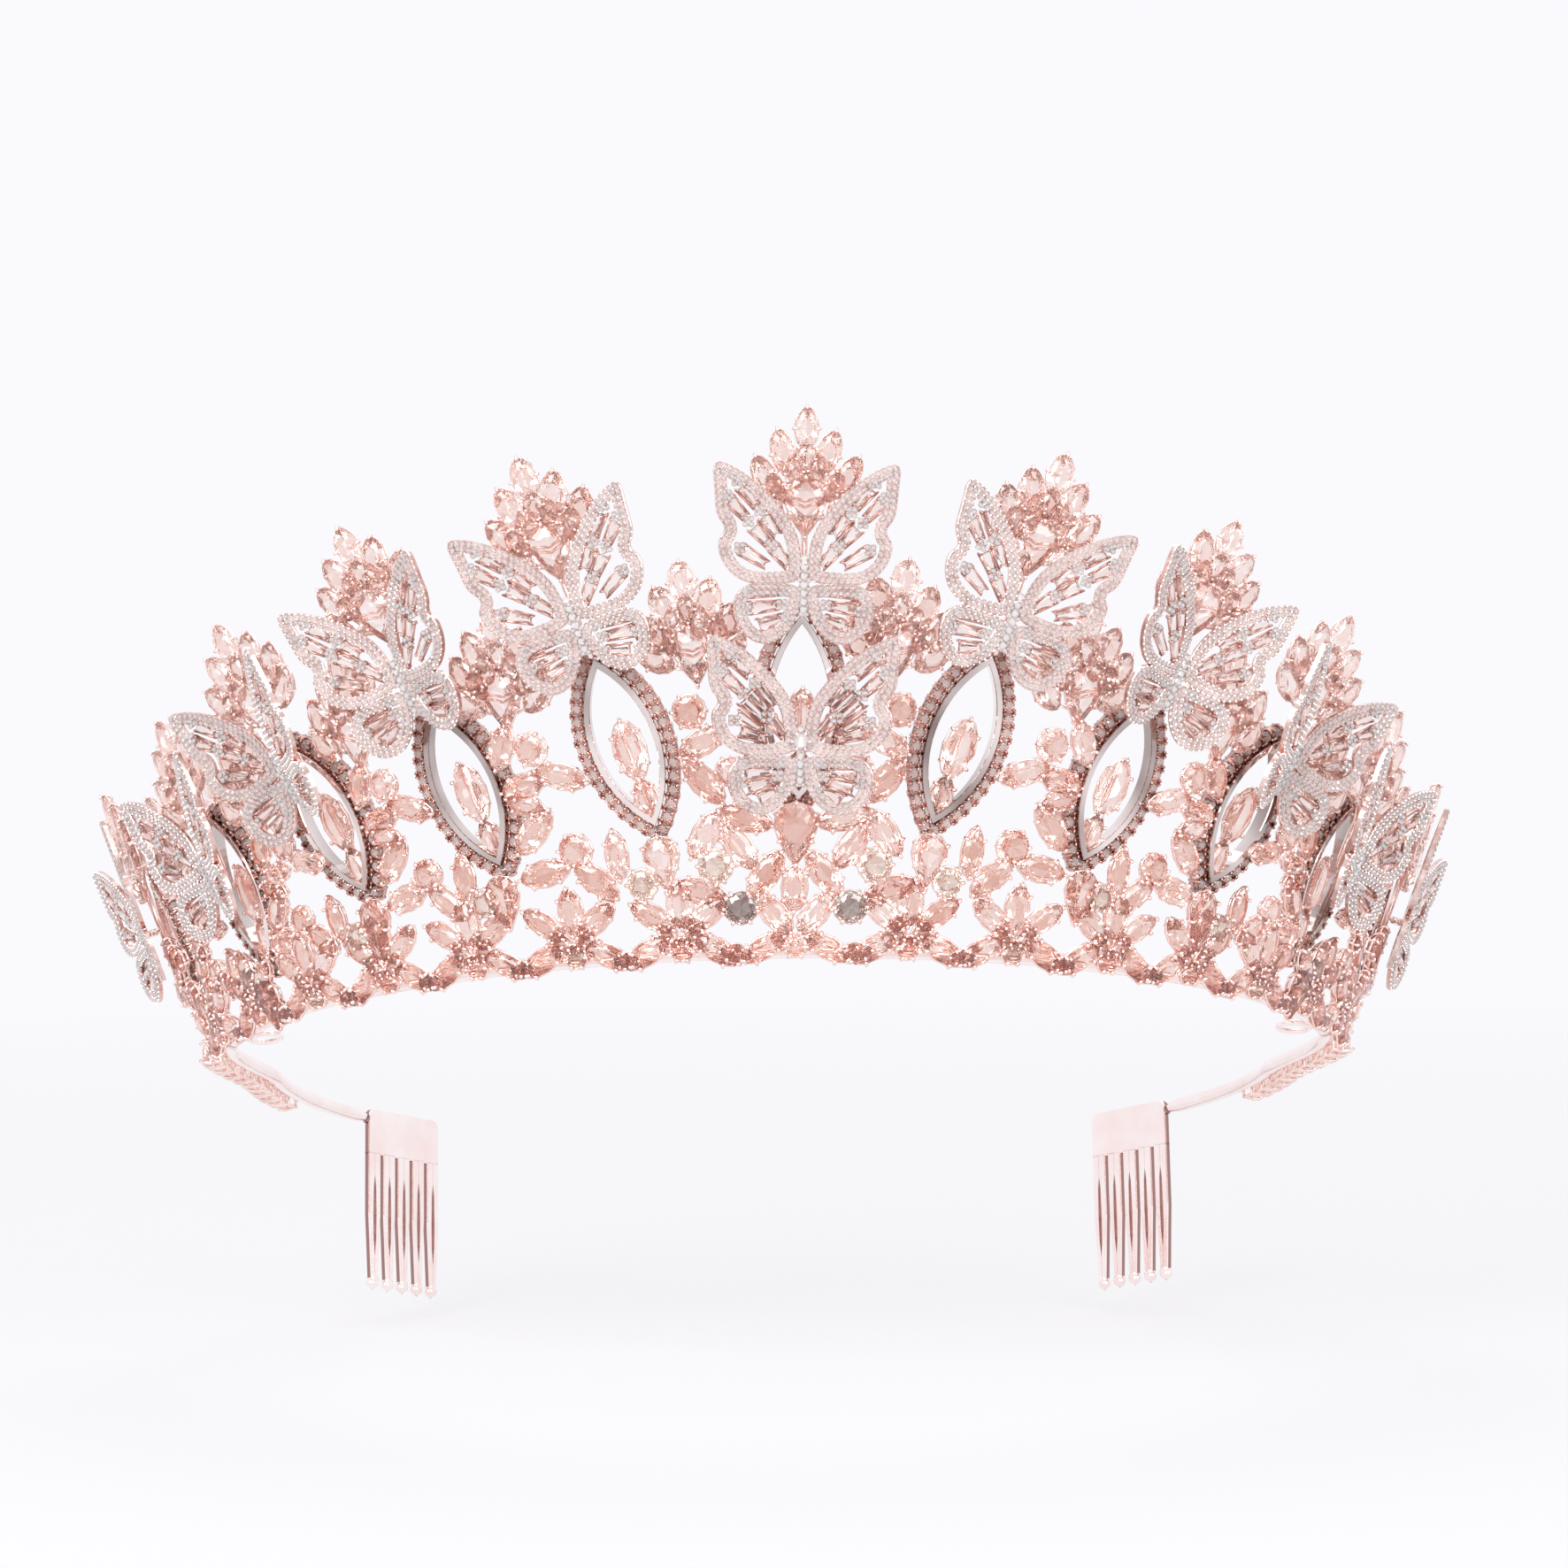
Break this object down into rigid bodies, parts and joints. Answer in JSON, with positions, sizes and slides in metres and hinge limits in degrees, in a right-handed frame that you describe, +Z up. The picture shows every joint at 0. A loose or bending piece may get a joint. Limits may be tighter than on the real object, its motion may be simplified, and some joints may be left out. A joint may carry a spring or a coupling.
{
  "type": "bridal tiara",
  "caption": "Openwork bridal tiara: stone-set gallery, chain-edged loops, leaf sprays and butterflies on a sprung open band with side combs.",
  "frame": {"origin": "centre of the band circle, at the level of its base, where the head sits", "axes": "+X to the viewer's right, -Y to the front of the wearer, +Z up; the band slopes down 16 degrees from the front to the combs"},
  "size_m": [0.1866, 0.1312, 0.1243],
  "materials": {
    "rose_gold": "polished pale rose gold plate",
    "cup_chain": "rose gold cups with small set stones",
    "set_stones": "foil-backed peach crystal in claw settings",
    "pave": "silvery pink pave in pale rose gold"
  },
  "bodies": {
    "crown": {"front_band": "rose_gold", "eyelet_left": "rose_gold", "eyelet_right": "rose_gold", "gallery_centre": "set_stones", "gallery_left_inner": "set_stones", "gallery_left_outer": "set_stones", "gallery_right_inner": "set_stones", "gallery_right_outer": "set_stones", "mid_spray_left_1": "set_stones", "mid_spray_left_2": "set_stones", "mid_spray_left_3": "set_stones", "mid_spray_left_4": "set_stones", "mid_spray_left_5": "set_stones", "mid_spray_right_1": "set_stones", "mid_spray_right_2": "set_stones", "mid_spray_right_3": "set_stones", "mid_spray_right_4": "set_stones", "mid_spray_right_5": "set_stones", "loop_centre": "cup_chain", "loop_left_1": "cup_chain", "loop_left_2": "cup_chain", "loop_left_3": "cup_chain", "loop_left_4": "cup_chain", "loop_left_5": "cup_chain", "loop_right_1": "cup_chain", "loop_right_2": "cup_chain", "loop_right_3": "cup_chain", "loop_right_4": "cup_chain", "loop_right_5": "cup_chain", "spray_centre": "set_stones", "spray_left_1": "set_stones", "spray_left_2": "set_stones", "spray_left_3": "set_stones", "spray_left_4": "set_stones", "spray_left_5": "set_stones", "spray_right_1": "set_stones", "spray_right_2": "set_stones", "spray_right_3": "set_stones", "spray_right_4": "set_stones", "spray_right_5": "set_stones", "butterfly_centre": "pave", "butterfly_low": "pave", "butterfly_left_1": "pave", "butterfly_left_2": "pave", "butterfly_left_3": "pave", "butterfly_left_4": "pave", "butterfly_left_5": "pave", "butterfly_right_1": "pave", "butterfly_right_2": "pave", "butterfly_right_3": "pave", "butterfly_right_4": "pave", "butterfly_right_5": "pave"},
    "left_arm": {"arm_left": "rose_gold", "end_row_left": "set_stones", "comb_left": "rose_gold"},
    "right_arm": {"arm_right": "rose_gold", "end_row_right": "set_stones", "comb_right": "rose_gold"}
  },
  "joints": [
    {"name": "left_arm_flex", "type": "hinge", "parent": "crown", "child": "left_arm", "pos_m": [-0.07239, -0.01932, 0.00679], "axis": [0, 0.2756, 0.9613], "range_deg": [-2, 5], "stiffness_Nm_per_rad": 0.8},
    {"name": "right_arm_flex", "type": "hinge", "parent": "crown", "child": "right_arm", "pos_m": [0.07239, -0.01932, 0.00679], "axis": [0, -0.2756, -0.9613], "range_deg": [-2, 5], "stiffness_Nm_per_rad": 0.8}
  ]
}
